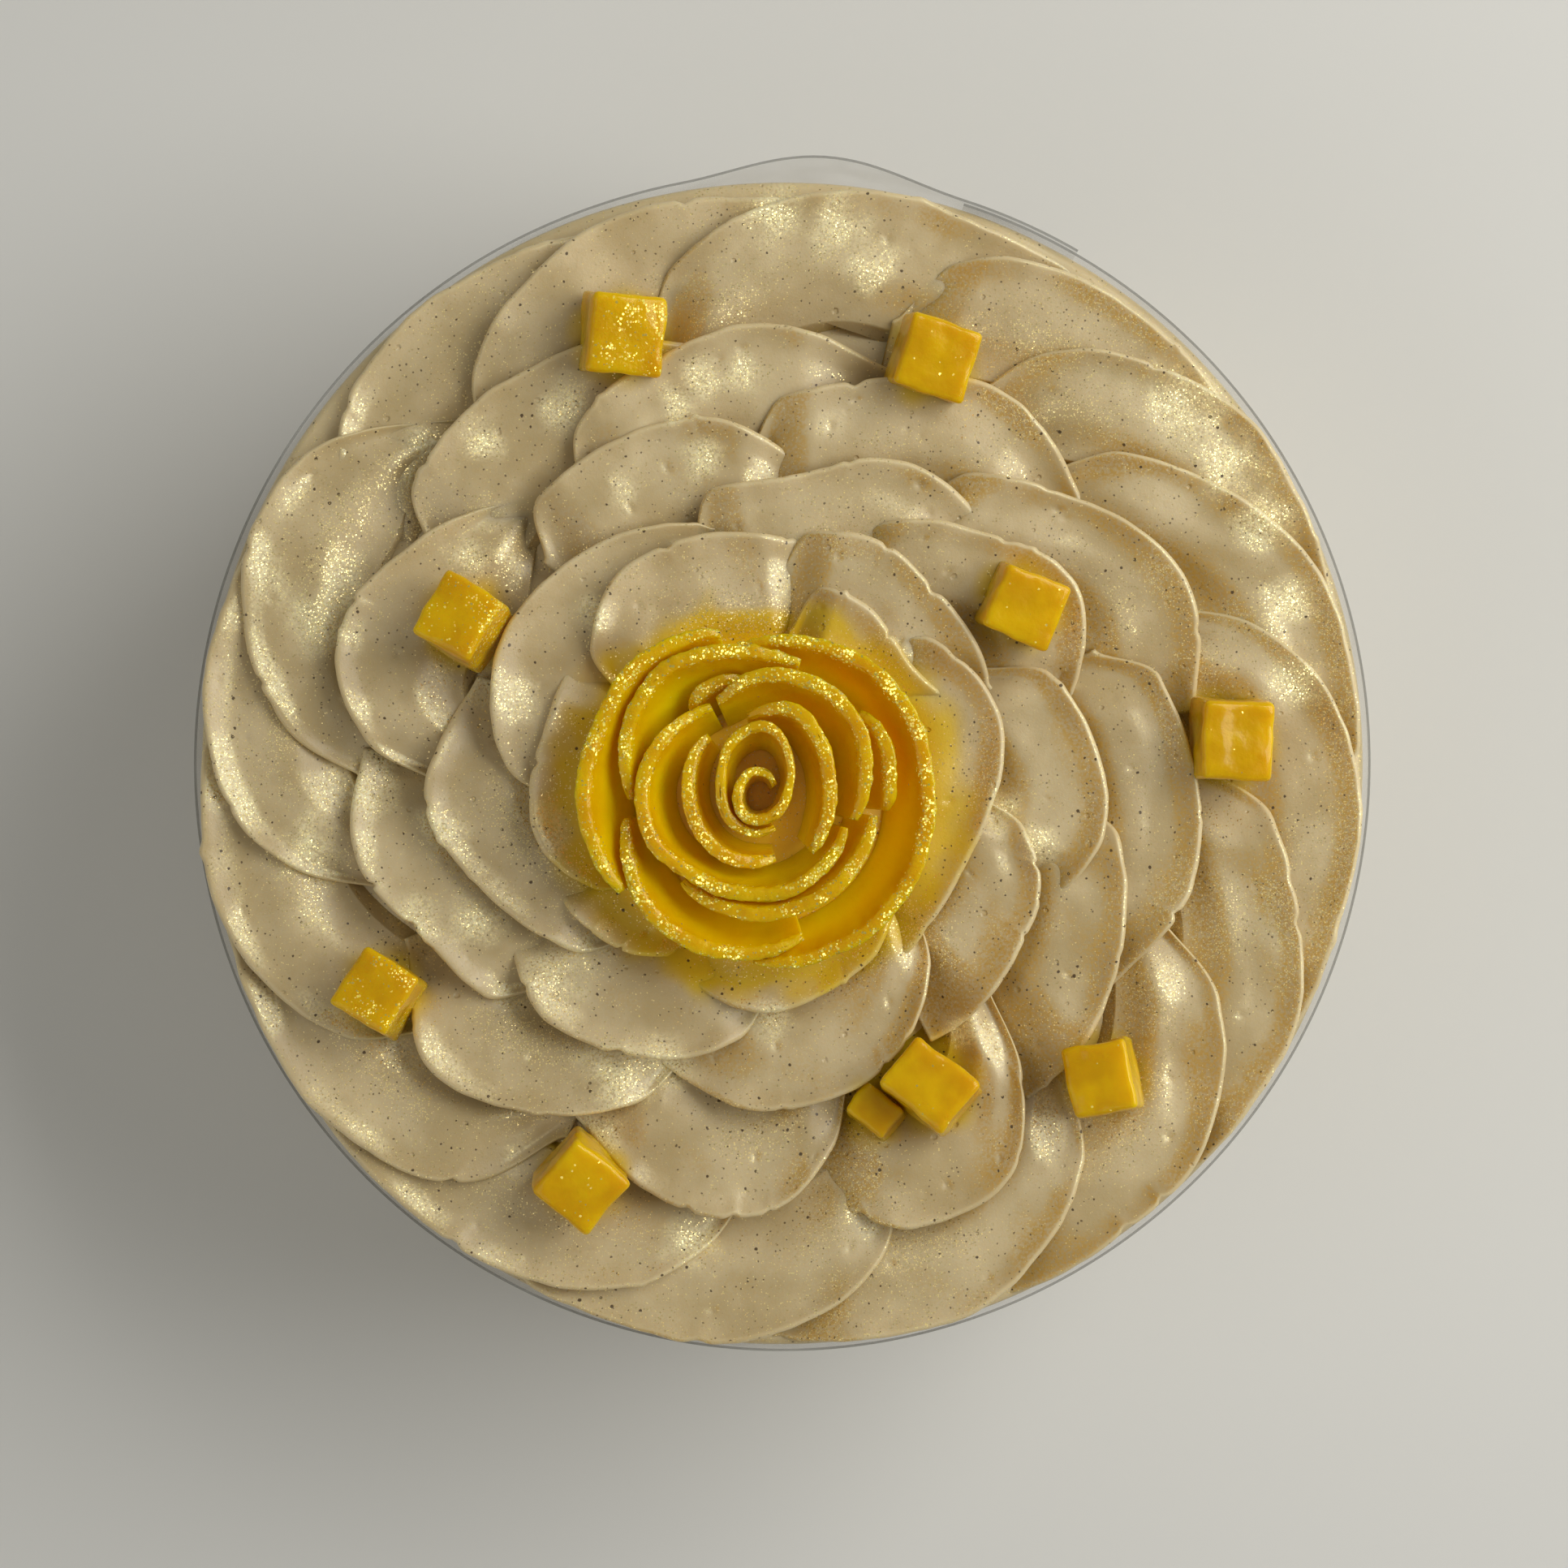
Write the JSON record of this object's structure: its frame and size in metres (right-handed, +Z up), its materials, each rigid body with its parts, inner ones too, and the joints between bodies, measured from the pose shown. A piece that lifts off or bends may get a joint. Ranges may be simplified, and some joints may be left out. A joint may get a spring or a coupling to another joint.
{
  "type": "mango cream cake",
  "caption": "Round mango cream cake with overlapping piped cream petals, a rolled mango rose, mango cubes and a clear film strip round its side.",
  "frame": {"origin": "middle of the cake's flat underside, on the surface it stands on", "axes": "+Z up; +Y is the side where the film strip bulges and laps, at the top of the picture; +X is to the picture's right"},
  "size_m": [0.206, 0.2089, 0.107],
  "materials": {
    "cream": "soft satin cream with vanilla specks and gold dust",
    "mango": "wet, glossy ripe mango",
    "film": "clear smooth film"
  },
  "bodies": {
    "root": {"cake": "cream", "mango_cube_1": "mango", "mango_cube_2": "mango", "mango_cube_3": "mango", "mango_cube_4": "mango", "mango_cube_5": "mango", "mango_cube_6": "mango", "mango_cube_7": "mango", "mango_cube_8": "mango", "mango_cube_9": "mango", "mango_cube_10": "mango", "rose_slice_1": "mango", "rose_slice_2": "mango", "rose_slice_3": "mango", "rose_slice_4": "mango", "rose_slice_5": "mango", "rose_slice_6": "mango", "rose_slice_7": "mango", "rose_slice_8": "mango", "rose_slice_9": "mango", "rose_slice_10": "mango", "rose_slice_11": "mango", "rose_slice_12": "mango", "film": "film"}
  },
  "joints": []
}
